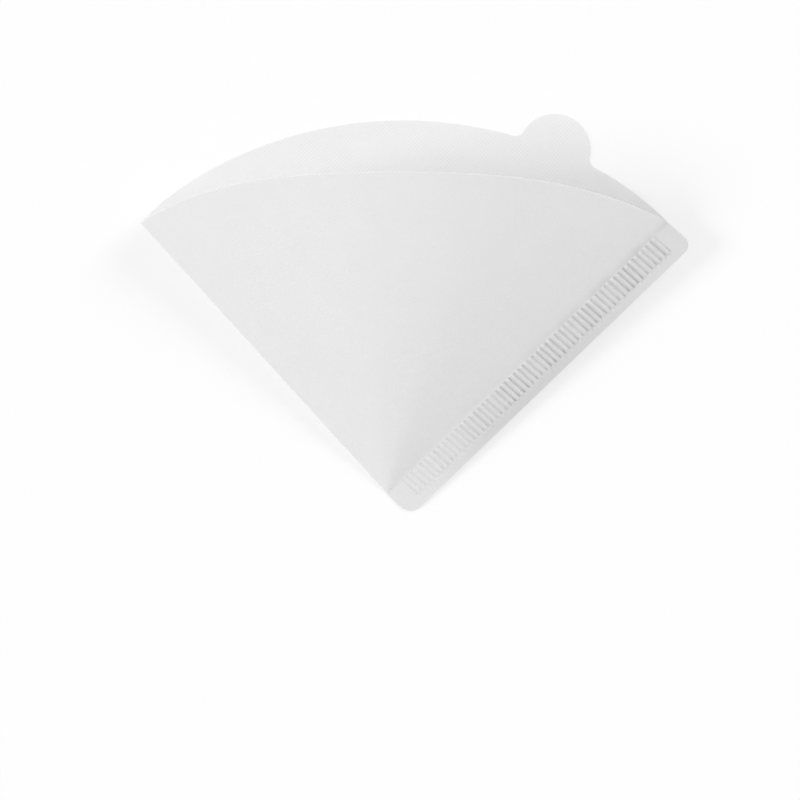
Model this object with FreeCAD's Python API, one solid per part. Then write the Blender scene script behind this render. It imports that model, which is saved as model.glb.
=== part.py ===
"""Cone-shaped paper coffee filter: one folded and crimped sheet, opened by hand and laid down.

The sheet is a sector, folded in half along one side and crimped to itself along the other side.
Laid on a table it rests on its back ply. The front ply arches over it, and the mouth faces +Y.
Both plies are made of parts of cones that share one apex, where the fold meets the crimped seam.
A paper cone unrolls flat, so the opened plies keep the true size of the flat sheet.

Frame: X across the mouth, with the seam at +X. Y from the tip to the mouth. Z up from the table.
"""
import FreeCAD
import Part
import math
import os

from FreeCAD import Rotation, Vector

# Flat sheet, millimetres and degrees
side_length = 125.0
corner_angle = 89.0
rim_centre_drop = 2.0
paper_thickness = 0.25
rim_corner_radius = 3.0
tip_corner_radius = 4.5

# Round pull tab on the rim of the back ply
tab_radius = 11.0
tab_angle = 24.5
tab_flare_radius = 3.0

# Crimped seam, along the side opposite the fold
seam_width = 10.2
seam_margin = 2.8
seam_inner_margin = 0.3
ridge_pitch = 2.0
ridge_crest = 0.5
ridge_height = 0.45
ridge_end_slope_length = 0.7
ridges_start = 5.0
ridges_stop_below_rim = 5.0

# How the crimp's waved band is let into the flat plies of the seam
band_overlap = 0.14
window_end_margin = 0.1
window_rise_factor = 1.5

# How the opened filter lies: the back ply is flat, with a strip that curls up at each side
curl_clear_of_tab = 0.5
seam_curl_cone_angle = 22.0
fold_curl_angle = 17.0
fold_curl_cone_angle = 14.5

# How the front ply arches: a round middle between two nearly flat sides
arch_side_angle = 26.5
arch_side_cone_angle = 80.0
arch_middle_angle_least = 30.0
arch_middle_angle_most = 89.0

# Where the two plies are pressed together
tip_closed_length = 3.0
tip_start = 0.5
tip_ball_radius = 0.6
press_depth = 0.1

# Cutting the rim
waste_margin = 2.0
rim_steps = 6

tip_steps = 4
bisection_steps = 60

up = Vector(0, 0, 1)
apex = Vector(0, 0, 0)


def flat(x, y):
    """A point of the flat sheet: x along the seam edge from its corner, y across from that edge."""
    return Vector(x, y, 0)


def unit(vector):
    return vector / vector.Length


def bearing(angle):
    """The level direction that lies this many degrees from +Y toward +X."""
    return Rotation(up, -angle).multVec(Vector(0, 1, 0))


def polar_angle(point):
    return math.degrees(math.atan2(point.y, point.x))


def arc(start, through, end):
    return Part.Arc(start, through, end).toShape()


def line(start, end):
    return Part.LineSegment(start, end).toShape()


def circles_meet(centre_a, radius_a, centre_b, radius_b, turn_side):
    """The point where two circles meet, on the left (1) or right (-1) of the line from a to b."""
    distance = (centre_b - centre_a).Length
    toward_b = unit(centre_b - centre_a)
    along = (distance ** 2 + radius_a ** 2 - radius_b ** 2) / (2 * distance)
    across = math.sqrt(radius_a ** 2 - along ** 2)
    return centre_a + toward_b * along + up.cross(toward_b) * (across * turn_side)


# Flat sheet: the rim is an arc whose centre lies a little below the sheet's corner
half_angle = math.radians(corner_angle / 2)
fold_direction = flat(math.cos(2 * half_angle), math.sin(2 * half_angle))
rim_centre = flat(-rim_centre_drop * math.cos(half_angle), -rim_centre_drop * math.sin(half_angle))
rim_radius = (flat(side_length, 0) - rim_centre).Length

# Flat sheet: the fold meets the inner line of the seam here, and both plies open from this point
flat_apex = fold_direction * (seam_width / fold_direction.y)


def rim_distance(span):
    """Distance from the apex to the rim, along the line this many degrees from the seam."""
    ray = flat(math.cos(math.radians(span)), math.sin(math.radians(span)))
    offset = flat_apex - rim_centre
    along = offset.dot(ray)
    return math.sqrt(along ** 2 + rim_radius ** 2 - offset.dot(offset)) - along


def rim_from_corner(y):
    """Distance along the seam from its corner to the rim, at y from the seam's outer edge."""
    return rim_centre.x + math.sqrt(rim_radius ** 2 - (y - rim_centre.y) ** 2)


# Flat sheet: the tab and its flares
tab_ray = flat(math.cos(math.radians(tab_angle)), math.sin(math.radians(tab_angle)))
tab_centre = rim_centre + tab_ray * rim_radius
flare_ring = rim_radius + tab_flare_radius
tab_ring = tab_radius + tab_flare_radius
flare_centre_seam = circles_meet(rim_centre, flare_ring, tab_centre, tab_ring, -1)
flare_centre_fold = circles_meet(rim_centre, flare_ring, tab_centre, tab_ring, 1)


def flare_foot(centre):
    """Where a flare leaves the rim."""
    return rim_centre + (centre - rim_centre) * (rim_radius / flare_ring)


def flare_top(centre):
    """Where a flare runs into the tab."""
    return tab_centre + (centre - tab_centre) * (tab_radius / tab_ring)


# Opened sheet: the back ply curls up from the tab's flare to the seam, and again near the fold
seam_curl_span = polar_angle(flare_foot(flare_centre_seam) - flat_apex) - curl_clear_of_tab
level_span = corner_angle - seam_curl_span - fold_curl_angle


class Cone:
    """Part of a round cone with its tip at the apex, unrolled to a sector of the flat sheet.

    It leaves the start ray square to the inward direction, and turns toward the side that is given.
    The spans say which degrees of the sheet's corner it takes up, counted from the seam.
    """

    def __init__(self, start, inward, cone_angle, toward, first_span, last_span):
        slant = math.radians(cone_angle)
        turn = abs(last_span - first_span) / math.sin(slant)
        self.start = start
        self.axis = start * math.cos(slant) + inward * math.sin(slant)
        self.turn = turn if self.axis.cross(start).dot(toward) > 0 else -turn
        self.first_span = first_span
        self.last_span = last_span

    def ray(self, share):
        return Rotation(self.axis, self.turn * share).multVec(self.start)

    def normal(self, share):
        """The way out of the filter, square to the ply, away from the cone's axis."""
        ray = self.ray(share)
        return unit(ray * self.axis.dot(ray) - self.axis)

    def rim(self, share):
        return rim_distance(self.first_span + (self.last_span - self.first_span) * share)

    def end(self):
        return self.ray(1)

    def inward_at_end(self):
        return self.normal(1) * -1


seam_side_ray = bearing(level_span / 2)
fold_side_ray = bearing(-level_span / 2)
fold_curl_start = seam_curl_span + level_span
seam_curl = Cone(seam_side_ray, up, seam_curl_cone_angle, bearing(90), seam_curl_span, 0)
fold_curl = Cone(fold_side_ray, up, fold_curl_cone_angle, bearing(-90), fold_curl_start, corner_angle)
seam_ray = seam_curl.end()
fold_ray = fold_curl.end()


def bisect(function, low, high):
    """The root of a falling function, between low and high."""
    for _ in range(bisection_steps):
        middle = (low + high) / 2
        if function(middle) > 0:
            low = middle
        else:
            high = middle
    return (low + high) / 2


def arch():
    """The front ply's three cones, from the seam to the fold, at the ply's true flat width."""
    half_opening = seam_ray.getAngle(fold_ray) / 2

    def half(top, inward, middle_cone, toward):
        middle = Cone(top, inward, middle_cone, toward, corner_angle / 2, arch_side_angle)
        start = middle.end()
        side = Cone(start, middle.inward_at_end(), arch_side_cone_angle, toward, arch_side_angle, 0)
        return middle, side

    def foot(middle_cone):
        """Where the side ends, when the top ray is level along +Y."""
        return half(bearing(0), up * -1, middle_cone, bearing(90))[1].end()

    middle_cone = bisect(
        lambda angle: math.sin(half_opening) - foot(angle).x,
        arch_middle_angle_least, arch_middle_angle_most,
    )
    sink = math.atan2(-foot(middle_cone).z, foot(middle_cone).y)
    forward = unit(seam_ray + fold_ray)
    above = unit(seam_ray.cross(fold_ray))
    top = forward * math.cos(sink) + above * math.sin(sink)
    inward = forward * math.sin(sink) - above * math.cos(sink)
    half_middle, seam_side = half(top, inward, middle_cone, seam_ray)
    fold_side_start = corner_angle - arch_side_angle
    middle = Cone(
        half_middle.end(), half_middle.inward_at_end(), middle_cone, fold_ray,
        arch_side_angle, fold_side_start,
    )
    fold_side = Cone(
        middle.end(), middle.inward_at_end(), arch_side_cone_angle, fold_ray,
        fold_side_start, corner_angle,
    )
    return seam_side, middle, fold_side


arch_seam_side, arch_middle, arch_fold_side = arch()


def spline(points, shares):
    curve = Part.BSplineCurve()
    curve.interpolate(Points=points, Parameters=shares)
    return curve.toShape()


def even_shares(steps):
    return [step / steps for step in range(steps + 1)]


def solid_of(faces):
    """The solid that these faces close, the right way out."""
    shell = Part.makeShell(faces)
    shell.sewShape()
    solid = Part.Solid(shell)
    if solid.Volume < 0:
        solid.reverse()
    return solid


def rim_waste(cone):
    """What lies outside the rim: a block whose inner wall follows the rim, square to the paper."""
    margin = waste_margin / side_length
    shares = [-margin] + even_shares(rim_steps) + [1 + margin]
    below = -waste_margin
    above = paper_thickness + waste_margin

    def at_rim(share, height):
        return cone.ray(share) * cone.rim(share) + cone.normal(share) * height

    def far_out(share, height):
        return cone.ray(share) * (side_length + 2 * waste_margin) + cone.normal(share) * height

    def edge(place, height):
        return spline([place(share, height) for share in shares], shares)

    rim_below = edge(at_rim, below)
    rim_above = edge(at_rim, above)
    far_below = edge(far_out, below)
    far_above = edge(far_out, above)
    faces = [
        Part.makeRuledSurface(rim_below, rim_above),
        Part.makeRuledSurface(far_below, far_above),
        Part.makeRuledSurface(rim_below, far_below),
        Part.makeRuledSurface(rim_above, far_above),
    ]
    for share in (shares[0], shares[-1]):
        corners = [
            at_rim(share, below), at_rim(share, above),
            far_out(share, above), far_out(share, below),
        ]
        faces.append(Part.Face(Part.makePolygon(corners + corners[:1])))
    return solid_of(faces)


def ply(cone):
    """One curved ply: a strip of paper turned about the cone's axis, then trimmed along the rim."""
    near = cone.ray(0) * tip_start
    far = cone.ray(0) * (side_length + waste_margin)
    lift = cone.normal(0) * paper_thickness
    outline = Part.makePolygon([near, far, far + lift, near + lift, near])
    strip = Part.Face(outline).revolve(apex, cone.axis, cone.turn)
    return strip.cut(rim_waste(cone))


def laid(point):
    """A point of the flat back ply, laid on the table with the ply's level part across +Y."""
    span = polar_angle(point - flat_apex)
    distance = (point - flat_apex).Length
    return bearing(level_span / 2 - (span - seam_curl_span)) * distance


def level_ply():
    """The level middle of the back ply, with the pull tab."""
    near_seam = seam_side_ray * tip_start
    near_fold = fold_side_ray * tip_start
    rim_seam = seam_side_ray * rim_distance(seam_curl_span)
    rim_fold = fold_side_ray * rim_distance(fold_curl_start)
    foot_seam = laid(flare_foot(flare_centre_seam))
    foot_fold = laid(flare_foot(flare_centre_fold))
    top_seam = laid(flare_top(flare_centre_seam))
    top_fold = laid(flare_top(flare_centre_fold))
    centre = laid(rim_centre)
    tab = laid(tab_centre)

    def bend(start, end, middle, radius):
        """An arc about this middle point, from start to end."""
        return arc(start, middle + unit((start + end) * 0.5 - middle) * radius, end)

    edges = [
        line(near_seam, rim_seam),
        bend(rim_seam, foot_seam, centre, rim_radius),
        bend(foot_seam, top_seam, laid(flare_centre_seam), tab_flare_radius),
        arc(top_seam, tab + unit(tab - centre) * tab_radius, top_fold),
        bend(top_fold, foot_fold, laid(flare_centre_fold), tab_flare_radius),
        bend(foot_fold, rim_fold, centre, rim_radius),
        line(rim_fold, near_fold),
        line(near_fold, near_seam),
    ]
    return Part.Face(Part.Wire(edges)).extrude(up * -paper_thickness)


def fold_edge():
    """The outside of the fold: a round edge, one paper thickness in radius, between the two plies."""
    near = fold_ray * tip_start
    length = rim_distance(corner_angle) - tip_start
    above = arch_fold_side.normal(1) * paper_thickness
    below = fold_curl.normal(1) * paper_thickness
    middle = unit(above + below) * paper_thickness
    edges = [
        line(near, near + above),
        arc(near + above, near + middle, near + below),
        line(near + below, near),
    ]
    return Part.Face(Part.Wire(edges)).extrude(fold_ray * length)


def tip():
    """The last few millimetres of the cone, where the plies are pressed together."""
    depth = paper_thickness / 2

    def place(cone, share, y):
        ray = cone.ray(share)
        normal = cone.normal(share) * depth
        return ray * ((y - normal.y) / ray.y) + normal

    def outline(y):
        shares = even_shares(tip_steps)
        edges = []
        for cone in (arch_seam_side, arch_middle, arch_fold_side, fold_curl, seam_curl):
            edges.append(spline([place(cone, share, y) for share in shares], shares))
        edges.append(line(place(arch_fold_side, 1, y), place(fold_curl, 1, y)))
        edges.append(line(place(fold_curl, 0, y), place(seam_curl, 0, y)))
        edges.append(line(place(seam_curl, 1, y), place(arch_seam_side, 1, y)))
        return Part.Wire(Part.__sortEdges__(edges))

    closed = Part.makeLoft([outline(tip_start / 2), outline(tip_closed_length)], True, True)
    ball = Part.makeSphere(tip_ball_radius, apex)
    above_table = Part.makeBox(
        2 * tip_ball_radius, 2 * tip_ball_radius, 2 * tip_ball_radius,
        Vector(-tip_ball_radius, -tip_ball_radius, -paper_thickness),
    )
    return closed.fuse(ball.common(above_table))


def seam_plate():
    """The seam's two plies, flat and pressed together, with their rounded corners."""
    inner = seam_width + press_depth
    tip_tangent = tip_corner_radius / math.tan(half_angle)
    tip_on_fold = fold_direction * tip_tangent
    tip_on_edge = flat(tip_tangent, 0)
    tip_centre = flat(tip_tangent, tip_corner_radius)
    tip_middle = tip_centre - unit(tip_centre) * tip_corner_radius

    corner_ring = rim_radius - rim_corner_radius
    reach = math.sqrt(corner_ring ** 2 - (rim_corner_radius - rim_centre.y) ** 2)
    corner_centre = flat(rim_centre.x + reach, rim_corner_radius)
    corner_on_edge = flat(corner_centre.x, 0)
    corner_on_rim = corner_centre + unit(corner_centre - rim_centre) * rim_corner_radius
    corner_outward = unit(flat(side_length, 0) - corner_centre)
    corner_middle = corner_centre + corner_outward * rim_corner_radius
    rim_inner = flat(rim_from_corner(inner), inner)
    rim_middle_y = (corner_on_rim.y + inner) / 2
    rim_middle = flat(rim_from_corner(rim_middle_y), rim_middle_y)
    fold_at_inner = fold_direction * (inner / fold_direction.y)
    edges = [
        line(fold_at_inner, tip_on_fold),
        arc(tip_on_fold, tip_middle, tip_on_edge),
        line(tip_on_edge, corner_on_edge),
        arc(corner_on_edge, corner_middle, corner_on_rim),
        arc(corner_on_rim, rim_middle, rim_inner),
        line(rim_inner, fold_at_inner),
    ]
    plate = Part.Face(Part.Wire(edges)).extrude(up * (2 * paper_thickness))
    plate.translate(up * -paper_thickness)
    return plate


# The crimp's extent: along the seam from first to last, across it from outer to inner
ridge_count = int((side_length - ridges_stop_below_rim - ridges_start) / ridge_pitch)
ridges_end = ridges_start + ridge_count * ridge_pitch
band_outer = seam_margin
band_inner = seam_width - seam_inner_margin


def waved_plies():
    """Both plies in the crimp, waved along the seam between the teeth of the two crimping wheels."""
    rise = ridge_height / 2
    flank = ridge_pitch / 2 - ridge_crest
    middle = [(ridges_start, 0)]
    for ridge in range(ridge_count):
        crest_start = ridges_start + ridge * ridge_pitch + flank / 2
        trough_start = crest_start + ridge_crest + flank
        middle += [
            (crest_start, rise),
            (crest_start + ridge_crest, rise),
            (trough_start, -rise),
            (trough_start + ridge_crest, -rise),
        ]
    middle.append((ridges_end, 0))
    top = [Vector(x, 0, height + paper_thickness) for x, height in middle]
    low = [Vector(x, 0, height - paper_thickness) for x, height in middle]
    low.reverse()
    return Part.Face(Part.makePolygon(top + low + top[:1]))


def prism_along_seam(corners, first, last):
    """A straight bar along the seam, from its outline of (across, up) points."""
    outline = [Vector(first, across, height) for across, height in corners + corners[:1]]
    return Part.Face(Part.makePolygon(outline)).extrude(Vector(last - first, 0, 0))


def crimp_band():
    """The waved plies, sloped down to the flat seam along both of their sides."""
    slope = ridge_end_slope_length
    outer = band_outer - band_overlap
    inner = band_inner + band_overlap
    crest = ridge_height / 2 + paper_thickness
    buried = paper_thickness - ridge_height / 2 * band_overlap / slope
    band = waved_plies().extrude(Vector(0, inner - outer, 0))
    band.translate(Vector(0, outer, 0))
    corners = [
        (outer, -buried), (band_outer + slope, -crest), (band_inner - slope, -crest), (inner, -buried),
        (inner, buried), (band_inner - slope, crest), (band_outer + slope, crest), (outer, buried),
    ]
    return band.common(prism_along_seam(corners, ridges_start - ridge_pitch, ridges_end + ridge_pitch))


def crimp_window():
    """What is cut out of the flat plate where the waved plies go."""
    slope = ridge_end_slope_length
    outer = band_outer + slope
    inner = band_inner - slope
    lean = slope * window_rise_factor
    height = paper_thickness * window_rise_factor
    corners = [
        (outer, 0), (outer - lean, height), (inner + lean, height),
        (inner, 0), (inner + lean, -height), (outer - lean, -height),
    ]
    return prism_along_seam(corners, ridges_start + window_end_margin, ridges_end - window_end_margin)


def seam():
    """The crimped seam, level across, carried by the ray where both plies meet it."""
    shape = seam_plate().cut(crimp_window()).fuse(crimp_band())
    across = unit(Vector(-seam_ray.y, seam_ray.x, 0))
    above = seam_ray.cross(across)
    corner = across * -flat_apex.y - seam_ray * flat_apex.x
    columns = (seam_ray, across, above, corner)
    rows = [[getattr(column, axis) for column in columns] for axis in ("x", "y", "z")]
    matrix = FreeCAD.Matrix(*rows[0], *rows[1], *rows[2], 0, 0, 0, 1)
    shape.Placement = FreeCAD.Placement(matrix)
    return shape


def filter_paper():
    pieces = [ply(cone) for cone in (arch_seam_side, arch_middle, arch_fold_side, seam_curl, fold_curl)]
    pieces += [level_ply(), fold_edge(), tip(), seam()]
    return pieces[0].multiFuse(pieces[1:]).removeSplitter()


def main():
    sheet = filter_paper()
    box = sheet.optimalBoundingBox(False, False)
    sheet.translate(Vector(-(box.XMin + box.XMax) / 2, -(box.YMin + box.YMax) / 2, -box.ZMin))
    os.makedirs("parts", exist_ok=True)
    solid = sheet.Solids[0]
    print("solids", len(sheet.Solids), "valid", sheet.isValid(), "volume", round(solid.Volume, 1))
    print("box", solid.optimalBoundingBox(False, False))
    solid.exportStep("parts/filter_paper.step")


main()
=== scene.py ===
"""The looks of an opened cone-shaped paper coffee filter, lying on its back ply.

The paper is one closed mesh, worked out from the flat sheet. The sheet is a sector with a round
pull tab, folded in half along one side and crimped to itself along the other side. Opened, each
ply follows parts of cones that share one apex, so it keeps its flat size. Lengths here are in
millimetres and angles in degrees until the mesh is made, unless a name says otherwise.
"""

import math

import bmesh
import bpy
import numpy as np
from mathutils import Matrix, Vector


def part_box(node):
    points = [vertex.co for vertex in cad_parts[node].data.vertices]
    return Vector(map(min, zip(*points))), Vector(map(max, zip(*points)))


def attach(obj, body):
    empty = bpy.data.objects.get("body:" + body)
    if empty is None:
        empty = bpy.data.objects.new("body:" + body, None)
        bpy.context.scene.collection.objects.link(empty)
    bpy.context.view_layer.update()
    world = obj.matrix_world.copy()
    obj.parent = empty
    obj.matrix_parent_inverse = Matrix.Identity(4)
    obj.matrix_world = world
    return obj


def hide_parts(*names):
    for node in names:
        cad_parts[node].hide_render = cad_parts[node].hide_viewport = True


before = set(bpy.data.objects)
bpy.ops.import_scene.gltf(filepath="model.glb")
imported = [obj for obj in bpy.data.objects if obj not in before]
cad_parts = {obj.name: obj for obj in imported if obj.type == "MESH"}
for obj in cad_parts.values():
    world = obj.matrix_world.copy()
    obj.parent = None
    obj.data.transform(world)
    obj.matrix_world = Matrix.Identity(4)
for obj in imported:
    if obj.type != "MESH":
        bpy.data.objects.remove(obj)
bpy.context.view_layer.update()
MM = 0.001

# Flat sheet
side_length = 125.0
corner_angle = 89.0
rim_centre_drop = 2.0
paper_thickness = 0.25
rim_corner_radius = 3.0
tip_corner_radius = 4.5

# Round pull tab on the rim of the back ply
tab_radius = 11.0
tab_angle = 24.5
tab_flare_radius = 3.0

# Crimped seam
seam_width = 10.2
ridge_pitch = 2.0
ridge_count = 57
ridges_start = 5.0
ridge_skew = 0.07
ridge_rise = 0.32
ridge_lean = 0.25
crest_flatness = 0.12
ridges_outer_end = 2.5
ridges_outer_full = 3.2
ridges_inner_full = 9.2
last_ridge_fade = 0.6
ridge_share_at_tip = 0.5
tip_fade_start = 15
tip_fade_end = 60
dimple_place = 3.7
dimple_size = 0.45
dimple_rise = 0.5
ply_gap = 0.01

# Unevenness, as waves: each one's size, its turn in radians per unit along and across, and its start
outer_end_waves = ((0.1, 1.7, 0, 0), (0.1, 2.9, 0, 1.0), (0.07, 4.3, 0, 2.0))
spacing_waves = ((0.06, 0.71, 0, 2.0),)
ridge_rise_waves = ((0.12, 0.37, 0, 0.8), (0.08, 1.13, 0.3, 0))
# Patches in the painted shade along the crease beside the seam
crease_shade_waves = ((0.2, 0.41, 0, 0), (0.15, 0.97, 0, 1.0), (0.1, 2.1, 0, 2.0))
front_relief_waves = ((0.22, 7.1, 0, 0.6), (0.12, 16.0, 0.03, 2.0))
back_relief_waves = ((0.5, 9.0, 0, 1.0), (0.5, 21.0, 0.04, 0))
back_relief_rise = 0.1
relief_power = 1.5

# How much the paper is darkened, from 0 for not at all to 1, and where that grows and fades: partly for
# the crimp pressing the paper, partly painted shade
# The whole seam is darker: a little for the pressed paper, mostly painted shade
seam_pressed_and_shade = 0.62
seam_pressed_and_shade_at_tip = 0.6
seam_pressed_and_shade_grows = (5, 45)
seam_edge_blur = 0.5
# How narrowly the painted shade in the grooves gathers at their bottoms; a little of it is the denser
# pressed paper
groove_sharpness = 1.4
# A darker strip along the seam's outer edge, most along the middle of its length
margin_darkening = 0.3
margin_ends = (2.3, 3.1)
margin_grows = (5, 50)
margin_fades = (60, 125)
# Painted shade in the crease where each ply leaves the seam, in patches
painted_crease_shade = 0.65
crease_shade_place = 0.5
crease_shade_size = 1.4
crease_shade_grows = (20, 110)
crease_shade_middle = 0.7

# How the opened filter lies
curl_clear_of_tab = 0.5
seam_curl_cone_angle = 22.0
fold_curl_angle = 17.0
fold_curl_cone_angle = 14.5
arch_side_angle = 26.5
arch_side_cone_angle = 80.0
arch_middle_angle_least = 30.0
arch_middle_angle_most = 89.0
arch_halvings = 60

# Paper's surface: the size and height of each pattern, its cloudiness and its colours
pattern_length = 260.0
diamond_size = 1.26
diamond_turn = 45
diamond_rise = 0.012
diamond_tone = 0.3
fibre_size = 0.35
fibre_rise = 0.03
cockle_size = 3.0
cockle_rise = 0.05
fine_cloud_size = 1.2
fine_cloud_share = 0.7
broad_cloud_size = 14
cloud_dark = 0.1
cloud_light = 0.9
paper_dark = (0.8475, 0.8445, 0.8455, 1)
paper_light = (0.9055, 0.9025, 0.9035, 1)
# Pressed paper's colour, which also serves as painted shade in the seam, its grooves and the crease
# beside it
paper_pressed_and_shade = (0.632, 0.628, 0.630, 1)
light_reach_in_paper = 0.3
sharp_edge_angle = 50

# The crease where each ply leaves the seam
crease_reach_in_seam = 0.5
crease_reach_in_ply = 2.0
crease_reach_per_distance = 0.2
crease_reach_least = 1e-6

up = np.array([0.0, 0.0, 1.0])


def unit(vectors):
    return vectors / np.linalg.norm(vectors, axis=-1, keepdims=True)


def bearing(angle):
    """The level direction that lies this many degrees from +Y toward +X."""
    return np.array([math.sin(math.radians(angle)), math.cos(math.radians(angle)), 0.0])


def turned(vector, axis, angles):
    """One vector, turned about an axis by each of these angles."""
    angles = np.radians(np.atleast_1d(angles))[:, None]
    along = axis * (vector @ axis)
    return along + (vector - along) * np.cos(angles) + np.cross(axis, vector) * np.sin(angles)


# Flat sheet: the rim is an arc whose centre lies a little below the sheet's corner
half_angle = math.radians(corner_angle / 2)
fold_direction = np.array([math.cos(2 * half_angle), math.sin(2 * half_angle)])
rim_centre = np.array([math.cos(half_angle), math.sin(half_angle)]) * -rim_centre_drop
rim_radius = np.linalg.norm(np.array([side_length, 0.0]) - rim_centre)
flat_apex = fold_direction * (seam_width / fold_direction[1])


def flat_ray(spans):
    spans = np.radians(spans)
    return np.stack([np.cos(spans), np.sin(spans)], axis=-1)


def rim_distance(spans):
    """Distance from the apex to the rim, along lines this many degrees from the seam."""
    offset = flat_apex - rim_centre
    along = flat_ray(spans) @ offset
    return np.sqrt(along ** 2 + rim_radius ** 2 - offset @ offset) - along


def circles_meet(centre_a, radius_a, centre_b, radius_b, side):
    """The point where two circles meet, on the left (1) or right (-1) of the line from a to b."""
    distance = np.linalg.norm(centre_b - centre_a)
    toward_b = (centre_b - centre_a) / distance
    along = (distance ** 2 + radius_a ** 2 - radius_b ** 2) / (2 * distance)
    across = math.sqrt(radius_a ** 2 - along ** 2) * side
    return centre_a + toward_b * along + np.array([-toward_b[1], toward_b[0]]) * across


def span_of(point):
    """Degrees from the seam of a flat point, seen from the apex."""
    return math.degrees(math.atan2(point[1] - flat_apex[1], point[0] - flat_apex[0]))


tab_centre = rim_centre + flat_ray(tab_angle) * rim_radius
flare_ring = rim_radius + tab_flare_radius
tab_ring = tab_radius + tab_flare_radius
flare_centres = [circles_meet(rim_centre, flare_ring, tab_centre, tab_ring, side) for side in (-1, 1)]
flare_feet = [rim_centre + (centre - rim_centre) * (rim_radius / flare_ring) for centre in flare_centres]
flare_tops = [tab_centre + (centre - tab_centre) * (tab_radius / tab_ring) for centre in flare_centres]

seam_curl_span = span_of(flare_feet[0]) - curl_clear_of_tab
level_span = corner_angle - seam_curl_span - fold_curl_angle
fold_curl_start = seam_curl_span + level_span


class Cone:
    """Part of a round cone with its tip at the apex, unrolled to a sector of the flat sheet."""

    def __init__(self, start, inward, cone_angle, toward, first_span, last_span):
        slant = math.radians(cone_angle)
        turn = abs(last_span - first_span) / math.sin(slant)
        self.start = start
        self.axis = start * math.cos(slant) + inward * math.sin(slant)
        self.turn = turn if np.cross(self.axis, start) @ toward > 0 else -turn
        self.first_span = first_span
        self.last_span = last_span

    def rays(self, spans):
        share = (np.asarray(spans, float) - self.first_span) / (self.last_span - self.first_span)
        return turned(self.start, self.axis, self.turn * share)

    def end(self):
        return self.rays([self.last_span])[0]

    def inward_at_end(self):
        ray = self.end()
        return unit(self.axis - ray * (self.axis @ ray))


class Level:
    """The part of the back ply that lies flat on the table."""

    first_span = seam_curl_span
    last_span = fold_curl_start

    def rays(self, spans):
        angles = np.radians(level_span / 2 - (np.asarray(spans, float) - seam_curl_span))
        return np.stack([np.sin(angles), np.cos(angles), np.zeros_like(angles)], axis=-1)


seam_curl = Cone(bearing(level_span / 2), up, seam_curl_cone_angle, bearing(90), seam_curl_span, 0)
fold_curl = Cone(
    bearing(-level_span / 2), up, fold_curl_cone_angle, bearing(-90), fold_curl_start, corner_angle,
)
seam_ray = seam_curl.end()
fold_ray = fold_curl.end()
seam_inward = unit(np.array([-seam_ray[1], seam_ray[0], 0.0]))
seam_above = np.cross(seam_ray, seam_inward)
seam_corner = -seam_inward * flat_apex[1] - seam_ray * flat_apex[0]


def arch():
    """The front ply's three cones, from the seam to the fold, at the ply's true flat width."""
    half_opening = math.acos(seam_ray @ fold_ray) / 2

    def half(top, inward, middle_cone, toward):
        middle = Cone(top, inward, middle_cone, toward, corner_angle / 2, arch_side_angle)
        inward_below = middle.inward_at_end()
        return middle, Cone(middle.end(), inward_below, arch_side_cone_angle, toward, arch_side_angle, 0)

    def foot(middle_cone):
        return half(bearing(0), -up, middle_cone, bearing(90))[1].end()

    low = arch_middle_angle_least
    high = arch_middle_angle_most
    for _ in range(arch_halvings):
        middle_cone = (low + high) / 2
        if foot(middle_cone)[0] < math.sin(half_opening):
            low = middle_cone
        else:
            high = middle_cone
    sink = math.atan2(-foot(middle_cone)[2], foot(middle_cone)[1])
    forward = unit(seam_ray + fold_ray)
    above = unit(np.cross(seam_ray, fold_ray))
    top = forward * math.cos(sink) + above * math.sin(sink)
    inward = forward * math.sin(sink) - above * math.cos(sink)
    half_middle, seam_side = half(top, inward, middle_cone, seam_ray)
    fold_side_start = corner_angle - arch_side_angle
    middle = Cone(
        half_middle.end(), half_middle.inward_at_end(), middle_cone, fold_ray,
        arch_side_angle, fold_side_start,
    )
    fold_side = Cone(
        middle.end(), middle.inward_at_end(), arch_side_cone_angle, fold_ray,
        fold_side_start, corner_angle,
    )
    return seam_side, middle, fold_side


def smooth_step(values, low, high):
    share = np.clip((values - low) / (high - low), 0, 1)
    return share * share * (3 - 2 * share)


def summed(waves, along, across=0):
    return sum(
        size * np.sin(along * turn + across * turn_across + start)
        for size, turn, turn_across, start in waves
    )


def crimp(x, y):
    """The crimp's wave, from its broad crests to its narrow grooves, and its strength at each point."""
    wander = summed(outer_end_waves, x)
    along = x - ridge_skew * (seam_width - y) + summed(spacing_waves, x)
    turn = 2 * math.pi * (along - ridges_start) / ridge_pitch
    wave = np.sin(turn) - ridge_lean * np.sin(2 * turn) + crest_flatness * np.cos(2 * turn)
    across = smooth_step(y, ridges_outer_end + wander, ridges_outer_full + wander)
    across = across * (1 - smooth_step(y, ridges_inner_full + wander, seam_width))
    last = ridges_start + ridge_pitch * ridge_count
    length = smooth_step(along, ridges_start, ridges_start + ridge_pitch)
    length = length * (1 - smooth_step(along, last - ridge_pitch * last_ridge_fade, last))
    from_tip = smooth_step(along, tip_fade_start, tip_fade_end)
    near_tip = ridge_share_at_tip + (1 - ridge_share_at_tip) * from_tip
    uneven = 1 + summed(ridge_rise_waves, along, y)
    dimple = 1 + dimple_rise * np.exp(-((y - dimple_place - wander) / dimple_size) ** 2)
    return wave, across * length * near_tip * uneven * dimple


def crimp_height(x, y):
    """Height of the crimp's waves above the seam's middle plane."""
    wave, strength = crimp(x, y)
    return ridge_rise * wave * strength


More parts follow.
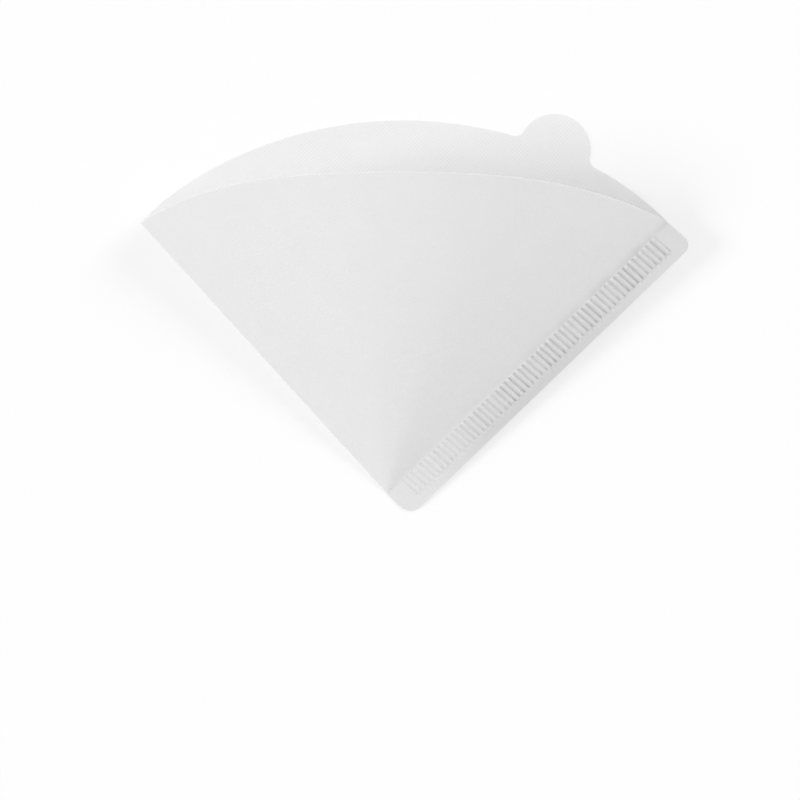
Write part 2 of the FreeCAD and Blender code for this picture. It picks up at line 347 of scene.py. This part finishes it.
def pressed_and_shade_share(x, y, side):
    """How much the paper is darkened: some in the whole seam, partly pressed paper and partly painted
    shade; more along its margin; most in the grooves, mostly painted shade; and painted shade in the
    crease beside the seam.
    """
    wave, strength = crimp(x, y)
    # Painted shade in the crimp's grooves, with a little for the denser pressed paper there.
    groove = np.clip(0.5 - wave * side / 2, 0, 1) ** groove_sharpness
    # The whole seam is darker: a little for the pressed paper, mostly painted shade.
    in_seam = 1 - smooth_step(y, seam_width - seam_edge_blur, seam_width + seam_edge_blur)
    grown = smooth_step(x, *seam_pressed_and_shade_grows)
    in_seam = in_seam * (seam_pressed_and_shade_at_tip + (1 - seam_pressed_and_shade_at_tip) * grown)
    # A darker strip along the seam's outer edge, most along the middle of its length.
    in_margin = 1 - smooth_step(y, *margin_ends)
    in_margin = in_margin * smooth_step(x, *margin_grows) * (1 - smooth_step(x, *margin_fades))
    pressed_and_shade = seam_pressed_and_shade * in_seam + (1 - seam_pressed_and_shade) * groove * strength
    pressed_and_shade = pressed_and_shade + margin_darkening * in_margin
    crease_shade_patches = crease_shade_middle + summed(crease_shade_waves, x)
    # Painted shade in the crease where the ply leaves the seam, in patches.
    crease = np.exp(-((y - seam_width - crease_shade_place) / crease_shade_size) ** 2)
    crease = crease * smooth_step(x, *crease_shade_grows) * crease_shade_patches
    return np.clip(np.maximum(pressed_and_shade, painted_crease_shade * crease), 0, 1)


def front_relief(distance, span):
    """Slight unevenness of the arched ply: none at its sides, most at the rim."""
    share = span / corner_angle
    edge = np.sin(np.pi * np.clip(share, 0, 1))
    slow = summed(front_relief_waves, share, distance)
    return slow * (distance / side_length) ** relief_power * edge


def back_relief(distance, span):
    """Slight unevenness of the lying ply, always away from the table."""
    share = span / corner_angle
    edge = np.sin(np.pi * np.clip(share, 0, 1)) ** 2
    slow = -back_relief_rise * (1 + summed(back_relief_waves, share, distance))
    return slow * (distance / side_length) ** relief_power * edge


class Ply:
    """One ply of the paper, from flat sheet points to points of the opened filter."""

    step = 0.02

    def __init__(self, parts, side, relief):
        self.parts = parts
        self.side = side
        self.relief = relief

    def rays(self, spans):
        rays = np.zeros((len(spans), 3))
        bounds = [min(part.first_span, part.last_span) for part in self.parts[1:]]
        which = np.searchsorted(bounds, spans)
        for index, part in enumerate(self.parts):
            here = which == index
            if here.any():
                rays[here] = part.rays(spans[here])
        return rays

    def laid(self, x, y):
        """Flat points where the opened filter has them, with a sharp crease at the seam."""
        dx = x - flat_apex[0]
        dy = y - seam_width
        in_seam = seam_corner + x[:, None] * seam_ray + y[:, None] * seam_inward
        spans = np.degrees(np.arctan2(np.maximum(dy, 0), dx))
        in_ply = self.rays(spans) * np.hypot(dx, dy)[:, None]
        return np.where((dy > 0)[:, None], in_ply, in_seam)

    def creased(self, x, y):
        """The same with a soft crease."""
        reach = (x - flat_apex[0]) * crease_reach_per_distance
        reach = np.clip(reach, crease_reach_least, None)
        before = np.minimum(crease_reach_in_seam, reach)
        after = np.minimum(crease_reach_in_ply, reach)
        offset = y - seam_width
        share = np.clip((offset + before) / (before + after), 0, 1)[:, None]
        bend = self.laid(x, seam_width - before) * (1 - share) ** 2
        bend += self.laid(x, np.full_like(x, seam_width)) * (2 * share * (1 - share))
        bend += self.laid(x, seam_width + after) * share ** 2
        return np.where((share > 0) & (share < 1), bend, self.laid(x, y))

    def outward(self, place, x, y):
        along = place(x + self.step, y) - place(x - self.step, y)
        across = place(x, y + self.step) - place(x, y - self.step)
        return unit(np.cross(along, across)) * self.side

    def placed(self, x, y):
        """The surface where the two plies' inner faces would meet, with its relief."""
        height = crimp_height(x, y) * self.side
        distance = np.hypot(x - flat_apex[0], y - seam_width)
        span = np.degrees(np.arctan2(np.maximum(y - seam_width, 0), x - flat_apex[0]))
        height = height + np.where(y > seam_width, self.relief(distance, span), 0)
        return self.creased(x, y) + self.outward(self.creased, x, y) * height[:, None]


front_ply = Ply(list(arch()), 1, front_relief)
back_ply = Ply([seam_curl, Level(), fold_curl], -1, back_relief)


# Flat grid of the seam: rows along it from the tip to the rim, columns across it from its outer edge
seam_columns = np.array([
    0, 0.08, 0.3, 0.7, 1.25, 1.9, 2.4, 2.7, 3.0, 3.3, 3.7, 4.4, 5.2, 6.1, 7.0, 7.8, 8.5,
    9.0, 9.3, 9.6, 9.8, 10.0, seam_width,
])
rows_per_ridge = 10
tip_rows = 9
rim_rows = 6
tip_row_starts = np.array([0, 0.3, 0.7, 1.2, 1.75, 2.35, 2.95, 3.6, 4.2])
shared_tip_rows = [0, 1, 2, 4, 6, 8]


def rim_end(y):
    """How far along the seam the paper reaches at y, with the rounded corner."""
    ring = rim_radius - rim_corner_radius
    corner_x = rim_centre[0] + math.sqrt(ring ** 2 - (rim_corner_radius - rim_centre[1]) ** 2)
    corner = np.array([corner_x, rim_corner_radius])
    joins_rim = corner + unit(corner - rim_centre) * rim_corner_radius
    off_centre = np.minimum(np.abs(y - rim_corner_radius), rim_corner_radius)
    in_corner = corner_x + np.sqrt(rim_corner_radius ** 2 - off_centre ** 2)
    on_rim = rim_centre[0] + np.sqrt(rim_radius ** 2 - (y - rim_centre[1]) ** 2)
    return np.where(y < joins_rim[1], in_corner, on_rim)


def seam_grid():
    rows = []
    tangent = tip_corner_radius / math.tan(half_angle)
    first_turn = corner_angle - 90
    for row in range(tip_rows):
        turn = math.radians(first_turn + (90 - first_turn) * row / (tip_rows - 1))
        outer = np.array([
            tangent - tip_corner_radius * math.cos(turn),
            tip_corner_radius - tip_corner_radius * math.sin(turn),
        ])
        inner = np.array([flat_apex[0] + tip_row_starts[row], seam_width])
        share = (seam_columns / seam_width)[:, None]
        rows.append(outer + (inner - outer) * share)
    skewed = ridge_skew * (seam_width - seam_columns)
    for row in range(ridge_count * rows_per_ridge + 1):
        x = ridges_start + row * ridge_pitch / rows_per_ridge
        rows.append(np.stack([x + skewed, seam_columns], axis=-1))
    last = rows[-1].copy()
    end = np.stack([rim_end(seam_columns), seam_columns], axis=-1)
    for row in range(1, rim_rows + 1):
        rows.append(last + (end - last) * (row / rim_rows))
    return np.array(rows)


seam_flat = seam_grid()
last_ridge_row = tip_rows + ridge_count * rows_per_ridge
shared_rows = shared_tip_rows + list(range(tip_rows, last_ridge_row + 1, rows_per_ridge))
shared_rows += [last_ridge_row + rim_rows // 2, last_ridge_row + rim_rows]
row_shares = (seam_flat[shared_rows, -1, 0] - flat_apex[0]) / rim_distance(0.0)

# Flat grid of the open plies: columns fan out from the apex, closer together beside seam and fold
fine_spans = np.array([0, 0.25, 0.5, 0.8, 1.2, 1.7, 2.3, 3.0])
column_step = 0.85
tab_base_share = 0.86
flare_points = 8
half_tab_points = 16

# The rounded fold
fold_steps = 6
fold_probe = 0.1


def spans_between(low, high):
    return np.linspace(low, high, max(int(round((high - low) / column_step)), 1) + 1)


def front_grid():
    middle = spans_between(fine_spans[-1], corner_angle - fine_spans[-1])
    spans = np.concatenate([fine_spans, middle[1:-1], corner_angle - fine_spans[::-1]])
    reach = row_shares[:, None] * rim_distance(spans)[None, :]
    return flat_apex + flat_ray(spans)[None, :, :] * reach[:, :, None]


def arc_points(centre, start, end, count):
    """Points on the shorter arc about a centre, both ends included."""
    first = math.atan2(*(start - centre)[::-1])
    turn = math.atan2(*(end - centre)[::-1]) - first
    turn = (turn + math.pi) % (2 * math.pi) - math.pi
    angles = first + turn * np.linspace(0, 1, count)
    radius = np.linalg.norm(start - centre)
    return centre + np.stack([np.cos(angles), np.sin(angles)], axis=-1) * radius


def tab_outline():
    """The tab's edge from the seam's side to the fold's: flare, round tab, flare."""
    top = tab_centre + unit(tab_centre - rim_centre) * tab_radius
    parts = [
        arc_points(flare_centres[0], flare_feet[0], flare_tops[0], flare_points),
        arc_points(tab_centre, flare_tops[0], top, half_tab_points)[1:],
        arc_points(tab_centre, top, flare_tops[1], half_tab_points)[1:],
        arc_points(flare_centres[1], flare_tops[1], flare_feet[1], flare_points)[1:],
    ]
    return np.concatenate(parts)


def back_grid():
    outline = tab_outline()
    tab_low = span_of(flare_feet[0])
    tab_high = span_of(flare_feet[1])
    before = spans_between(fine_spans[-1], tab_low)
    beyond = spans_between(tab_high, corner_angle - fine_spans[-1])
    tab_spans = np.linspace(tab_low, tab_high, len(outline))
    spans = np.concatenate([
        fine_spans, before[1:-1], tab_spans, beyond[1:-1], corner_angle - fine_spans[::-1],
    ])
    rim = flat_apex + flat_ray(spans) * rim_distance(spans)[:, None]
    first = len(fine_spans) + len(before) - 2
    rim[first:first + len(outline)] = outline
    base = flat_apex + flat_ray(spans) * (rim_distance(spans) * tab_base_share)[:, None]
    shares = row_shares[:, None, None]
    low = flat_apex + flat_ray(spans)[None] * (rim_distance(spans)[None, :, None] * shares)
    high = base[None] + (rim - base)[None] * ((shares - tab_base_share) / (1 - tab_base_share))
    return np.where(shares <= tab_base_share, low, high)


class Skin:
    """The vertices of one face of one ply: the seam's grid, and the open ply's grid beyond it."""

    def __init__(self, seam, fan):
        self.seam = seam
        self.fan = fan

    def fold_path(self):
        """Vertices along the fold, from the tip's rounded corner to the rim."""
        return list(self.seam[0]) + list(self.fan[1:, -1])

    def cut_path(self):
        """Vertices along the cut edge, from the fold's end on the rim to the tip's rounded corner."""
        along_rim = list(self.fan[-1, ::-1]) + list(self.seam[-1, -2::-1])
        return along_rim + list(self.seam[-2::-1, 0])

    def faces(self):
        faces = []
        for row in range(self.seam.shape[0] - 1):
            for column in range(self.seam.shape[1] - 1):
                faces.append([
                    self.seam[row, column], self.seam[row + 1, column],
                    self.seam[row + 1, column + 1], self.seam[row, column + 1],
                ])
        for row in range(self.fan.shape[0] - 1):
            edge = list(self.seam[shared_rows[row]:shared_rows[row + 1] + 1, -1])
            middle = len(edge) // 2 if row else 0
            for place in range(len(edge) - 1):
                faces.append([edge[place], edge[place + 1], self.fan[row + (place >= middle), 1]])
            if row:
                faces.append([edge[middle], self.fan[row + 1, 1], self.fan[row, 1]])
            for column in range(1, self.fan.shape[1] - 1):
                face = [self.fan[row, column], self.fan[row + 1, column], self.fan[row + 1, column + 1]]
                if row:
                    face.append(self.fan[row, column + 1])
                faces.append(face)
        return faces


def unfolded(flat, side):
    """Points of a ply where the unfolded sheet has them: the back ply's lie beyond the fold."""
    if side > 0:
        return flat
    return 2 * (flat @ fold_direction)[:, None] * fold_direction - flat


class SheetMesh:
    """Collects the vertices, with each one's place in the flat sheet, and the faces."""

    def __init__(self):
        self.points = []
        self.flat = []
        self.pressed_and_shade = []
        self.count = 0
        self.faces = []

    def add(self, points, flat, side):
        first = self.count
        self.points.append(points)
        self.flat.append(unfolded(flat, side))
        # How much each vertex is darkened: pressed paper, and painted shade in the seam, its grooves and
        # the crease.
        self.pressed_and_shade.append(pressed_and_shade_share(flat[:, 0], flat[:, 1], side))
        self.count += len(points)
        return np.arange(first, self.count)


def numbered(mesh, ply, fan_flat, depth, shared=None):
    """Adds one skin at this depth from where the plies meet. Shared vertices lie on the fold."""
    seam_shape = seam_flat.shape[:2]
    fan_shape = fan_flat.shape[:2]
    pole_row = fan_flat[1, 1:]
    seam_points = seam_flat.reshape(-1, 2)
    fan_points = fan_flat[1:, 1:].reshape(-1, 2)
    both = np.concatenate([seam_points, fan_points])
    x, y = both[:, 0].copy(), both[:, 1].copy()
    pole = seam_shape[1] - 1
    x[pole] += 2 * ply.step
    places = ply.placed(x, y)
    normals = ply.outward(ply.creased, x, y)
    around = ply.outward(ply.creased, pole_row[:, 0].copy(), pole_row[:, 1].copy())
    normals[pole] = unit(around.mean(axis=0) + ply.side * seam_above)
    places[pole] = 0
    points = places + normals * depth
    if shared is None:
        numbers = mesh.add(points, both, ply.side)
    else:
        on_fold = np.zeros(len(both), bool)
        on_fold[:seam_shape[1]] = True
        fan_numbers = np.arange(len(fan_points)).reshape(fan_shape[0] - 1, fan_shape[1] - 1)
        on_fold[len(seam_points) + fan_numbers[:, -1]] = True
        numbers = np.zeros(len(both), int)
        numbers[~on_fold] = mesh.add(points[~on_fold], both[~on_fold], ply.side)
        numbers[on_fold] = shared
    seam = numbers[:len(seam_points)].reshape(seam_shape)
    fan = np.zeros(fan_shape, int)
    fan[1:, 1:] = numbers[len(seam_points):].reshape(fan_shape[0] - 1, fan_shape[1] - 1)
    fan[:, 0] = seam[shared_rows, -1]
    fan[0, :] = seam[0, -1]
    return Skin(seam, fan)


def fold_vectors(ply, fan_flat):
    """Along the fold: the flat points, their places, and each ply's way out."""
    flat = np.concatenate([seam_flat[0], fan_flat[1:, -1]])
    x, y = flat[:, 0].copy(), flat[:, 1].copy()
    pole = seam_flat.shape[1] - 1
    x[pole] += 2 * ply.step
    places = ply.placed(x, y)
    normals = ply.outward(ply.creased, x, y)
    away = ply.placed(x + fold_probe, y) - places
    places[pole] = 0
    return flat, places, normals, unit(away)


def sheet_mesh():
    """Both plies' skins, the cut edges between them and the rounded fold, as one closed mesh."""
    mesh = SheetMesh()
    front_flat = front_grid()
    back_flat = back_grid()
    front_outer = numbered(mesh, front_ply, front_flat, paper_thickness)
    back_outer = numbered(mesh, back_ply, back_flat, paper_thickness)
    flat, fold_places, front_out, front_away = fold_vectors(front_ply, front_flat)
    _, _, back_out, back_away = fold_vectors(back_ply, back_flat)
    front_inner = numbered(mesh, front_ply, front_flat, ply_gap)
    fold_inner = front_inner.fold_path()
    all_points = np.concatenate(mesh.points)
    all_points[fold_inner] = fold_places
    mesh.points = [all_points]
    back_inner = numbered(mesh, back_ply, back_flat, ply_gap, shared=fold_inner)

    outside = -unit(front_away + back_away)
    rounds = [front_outer.fold_path()]
    for step in range(1, fold_steps):
        share = step / fold_steps
        turn = math.pi * share
        lean = front_out * max(math.cos(turn), 0) + back_out * max(-math.cos(turn), 0)
        normals = unit(lean + outside * math.sin(turn))
        rounds.append(list(mesh.add(fold_places + normals * paper_thickness, flat, 1)))
    rounds.append(back_outer.fold_path())

    for skin in (front_outer, back_outer, front_inner, back_inner):
        mesh.faces += skin.faces()
    for outer, inner in ((front_outer, front_inner), (back_outer, back_inner)):
        outer_path = outer.cut_path()
        inner_path = inner.cut_path()
        for place in range(len(outer_path) - 1):
            mesh.faces.append([
                outer_path[place], outer_path[place + 1], inner_path[place + 1], inner_path[place],
            ])
    for first, second in zip(rounds, rounds[1:]):
        for place in range(len(first) - 1):
            mesh.faces.append([first[place], first[place + 1], second[place + 1], second[place]])
    for end in (0, -1):
        mesh.faces.append([path[end] for path in rounds] + [fold_inner[end]])
    return mesh


def new_object(name, data):
    piece = bpy.data.objects.new(name, data)
    bpy.context.scene.collection.objects.link(piece)
    return piece


def build_sheet():
    """The paper's object, on the table and centred as the source's solid is."""
    sheet = sheet_mesh()
    points = np.concatenate(sheet.points)
    flat = np.concatenate(sheet.flat)
    low, high = points.min(axis=0), points.max(axis=0)
    box_low, box_high = (np.array(corner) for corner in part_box("filter_paper"))
    shift = (box_low + box_high) / 2 - (low + high) * MM / 2
    shift[2] = box_low[2] - low[2] * MM
    moved = points * MM + shift
    mesh = bpy.data.meshes.new("filter_sheet")
    mesh.from_pydata(moved.tolist(), [], [[int(v) for v in face] for face in sheet.faces])
    layer = mesh.uv_layers.new(name="sheet")
    corners = np.zeros(len(mesh.loops), np.int32)
    mesh.loops.foreach_get("vertex_index", corners)
    layer.data.foreach_set("uv", (flat[corners] / pattern_length + 0.5).astype(np.float32).ravel())
    # Each vertex's darkening toward the pressed colour: pressed paper, and painted shade in the seam,
    # its grooves and the crease.
    pressed_and_shade = mesh.attributes.new("pressed_and_shade", "FLOAT", "POINT")
    pressed_and_shade.data.foreach_set("value", np.concatenate(sheet.pressed_and_shade).astype(np.float32))
    work = bmesh.new()
    work.from_mesh(mesh)
    bmesh.ops.recalc_face_normals(work, faces=work.faces)
    work.to_mesh(mesh)
    work.free()
    mesh.shade_smooth()
    mesh.set_sharp_from_angle(angle=math.radians(sharp_edge_angle))
    return new_object("filter_sheet", mesh)


def paper_material():
    """Matt white crepe paper: fine diamonds, felted fibres, faint cloudiness, and pressed places
    darkened, partly with painted shade in the seam, its grooves and the crease beside it.
    """
    material = bpy.data.materials.new("crepe_paper")
    material.use_nodes = True
    nodes = material.node_tree.nodes
    links = material.node_tree.links
    shader = nodes["Principled BSDF"]
    shader.inputs["Roughness"].default_value = 0.9
    shader.inputs["Specular IOR Level"].default_value = 0.25
    shader.inputs["Subsurface Weight"].default_value = 0.35
    shader.inputs["Subsurface Radius"].default_value = (1.0, 1.0, 1.0)
    shader.inputs["Subsurface Scale"].default_value = light_reach_in_paper * MM

    place = nodes.new("ShaderNodeUVMap")
    place.uv_map = "sheet"

    def scaled(size_mm):
        """Sheet coordinates in units of this many millimetres."""
        node = nodes.new("ShaderNodeMapping")
        node.inputs["Scale"].default_value = (pattern_length / size_mm,) * 3
        links.new(place.outputs["UV"], node.inputs["Vector"])
        return node

    def noise(size_mm, detail, roughness):
        node = nodes.new("ShaderNodeTexNoise")
        node.inputs["Scale"].default_value = 1
        node.inputs["Detail"].default_value = detail
        node.inputs["Roughness"].default_value = roughness
        links.new(scaled(size_mm).outputs["Vector"], node.inputs["Vector"])
        return node.outputs["Fac"]

    def maths(operation, first, second):
        node = nodes.new("ShaderNodeMath")
        node.operation = operation
        for socket, value in zip(node.inputs, (first, second)):
            if isinstance(value, (int, float)):
                socket.default_value = value
            else:
                links.new(value, socket)
        return node.outputs["Value"]

    diagonal = scaled(diamond_size)
    diagonal.inputs["Rotation"].default_value = (0, 0, math.radians(diamond_turn))
    split = nodes.new("ShaderNodeSeparateXYZ")
    links.new(diagonal.outputs["Vector"], split.inputs["Vector"])
    rows = [
        maths("SINE", maths("MULTIPLY", split.outputs[axis], 2 * math.pi), 0) for axis in ("X", "Y")
    ]
    diamonds = maths("MULTIPLY", rows[0], rows[1])
    fibres = noise(fibre_size, detail=4, roughness=0.6)
    cockle = noise(cockle_size, detail=3, roughness=0.5)

    height = maths("MULTIPLY", diamonds, diamond_rise)
    height = maths("ADD", height, maths("MULTIPLY", fibres, fibre_rise))
    height = maths("ADD", height, maths("MULTIPLY", cockle, cockle_rise))
    bump = nodes.new("ShaderNodeBump")
    bump.inputs["Strength"].default_value = 1.0
    bump.inputs["Distance"].default_value = MM
    links.new(height, bump.inputs["Height"])
    links.new(bump.outputs["Normal"], shader.inputs["Normal"])

    fine_cloud = noise(fine_cloud_size, detail=5, roughness=0.65)
    broad_cloud = noise(broad_cloud_size, detail=2, roughness=0.5)
    cloud = maths("MULTIPLY", fine_cloud, fine_cloud_share)
    cloud = maths("ADD", cloud, maths("MULTIPLY", broad_cloud, 1 - fine_cloud_share))
    cloud = maths("ADD", cloud, maths("MULTIPLY", diamonds, diamond_tone))
    ramp = nodes.new("ShaderNodeValToRGB")
    dark, light = ramp.color_ramp.elements
    dark.position = cloud_dark
    dark.color = paper_dark
    light.position = cloud_light
    light.color = paper_light
    links.new(cloud, ramp.inputs["Fac"])
    # Darkens the colour toward the pressed colour: partly pressed paper, partly painted shade on the
    # seam, in its grooves and along the crease.
    pressed_and_shade = nodes.new("ShaderNodeAttribute")
    pressed_and_shade.attribute_name = "pressed_and_shade"
    colour = nodes.new("ShaderNodeMix")
    colour.data_type = "RGBA"
    links.new(pressed_and_shade.outputs["Fac"], colour.inputs["Factor"])
    links.new(ramp.outputs["Color"], colour.inputs["A"])
    colour.inputs["B"].default_value = paper_pressed_and_shade
    links.new(colour.outputs["Result"], shader.inputs["Base Color"])
    return material


sheet = build_sheet()
sheet.data.materials.append(paper_material())
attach(sheet, "root")
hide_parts("filter_paper")


# Floor, in metres: its top is a little under the paper
floor_half_width = 3.0
floor_height = -0.00005
floor_whiteness = 0.6


def make_floor():
    """A white floor that keeps the paper's shadow. The camera and reflections see it whiter."""
    mesh = bpy.data.meshes.new("floor")
    half = floor_half_width
    outline = ((-half, -half), (half, -half), (half, half), (-half, half))
    mesh.from_pydata([(x, y, floor_height) for x, y in outline], [], [(0, 1, 2, 3)])
    floor = new_object("floor", mesh)
    material = bpy.data.materials.new("floor_white")
    material.use_nodes = True
    nodes = material.node_tree.nodes
    links = material.node_tree.links
    shader = nodes["Principled BSDF"]
    shader.inputs["Base Color"].default_value = (0.97, 0.97, 0.97, 1)
    shader.inputs["Roughness"].default_value = 1.0
    shader.inputs["Specular IOR Level"].default_value = 0.0
    white = nodes.new("ShaderNodeEmission")
    white.inputs["Color"].default_value = (1, 1, 1, 1)
    white.inputs["Strength"].default_value = 1.0
    path = nodes.new("ShaderNodeLightPath")
    seen = path.outputs["Is Camera Ray"]
    for ray in ("Is Glossy Ray", "Is Transmission Ray"):
        either = nodes.new("ShaderNodeMath")
        either.operation = "ADD"
        links.new(seen, either.inputs[0])
        links.new(path.outputs[ray], either.inputs[1])
        seen = either.outputs["Value"]
    share = nodes.new("ShaderNodeMath")
    share.operation = "MULTIPLY"
    share.inputs[1].default_value = floor_whiteness
    links.new(seen, share.inputs[0])
    mix = nodes.new("ShaderNodeMixShader")
    links.new(share.outputs["Value"], mix.inputs["Fac"])
    links.new(shader.outputs["BSDF"], mix.inputs[1])
    links.new(white.outputs["Emission"], mix.inputs[2])
    links.new(mix.outputs["Shader"], nodes["Material Output"].inputs["Surface"])
    mesh.materials.append(material)


make_floor()


# Studio light: a plain world and two wide suns, each with its bearing in degrees and its strength
world_strength = 0.58
sun_width = 25
sun_elevation = math.radians(35)
suns = (("back", 45, 1.06), ("side", 270, 1.27))


def make_light():
    world = bpy.data.worlds.new("studio")
    world.use_nodes = True
    background = world.node_tree.nodes["Background"]
    background.inputs["Color"].default_value = (1, 1, 1, 1)
    background.inputs["Strength"].default_value = world_strength
    bpy.context.scene.world = world
    for name, azimuth, energy in suns:
        lamp = bpy.data.lights.new(name, "SUN")
        lamp.angle = math.radians(sun_width)
        lamp.energy = energy
        sun = new_object(name, lamp)
        toward_sun = bearing(azimuth) * math.cos(sun_elevation) + up * math.sin(sun_elevation)
        sun.rotation_mode = "QUATERNION"
        sun.rotation_quaternion = Vector(toward_sun).to_track_quat("Z", "Y")


make_light()


# Camera, at the photograph's viewing angle
camera_lens = 174.67
camera_place = Vector((154.89, 217.70, 1169.97)) * MM
camera_looks_at = Vector((-3.30, -28.72, 0.25)) * MM
camera_up = Vector((-0.07402, 0.97781, -0.19599))


def make_camera():
    camera = bpy.data.cameras.new("camera")
    camera.sensor_width = 36
    camera.lens = camera_lens
    camera.clip_start = 0.05
    camera.clip_end = 20
    holder = new_object("camera", camera)
    back = (camera_place - camera_looks_at).normalized()
    right = camera_up.cross(back).normalized()
    image_up = back.cross(right)
    turn = Matrix((right, image_up, back)).transposed().to_4x4()
    holder.matrix_world = Matrix.Translation(camera_place) @ turn
    bpy.context.scene.camera = holder


make_camera()
bpy.context.scene.view_settings.view_transform = "Standard"
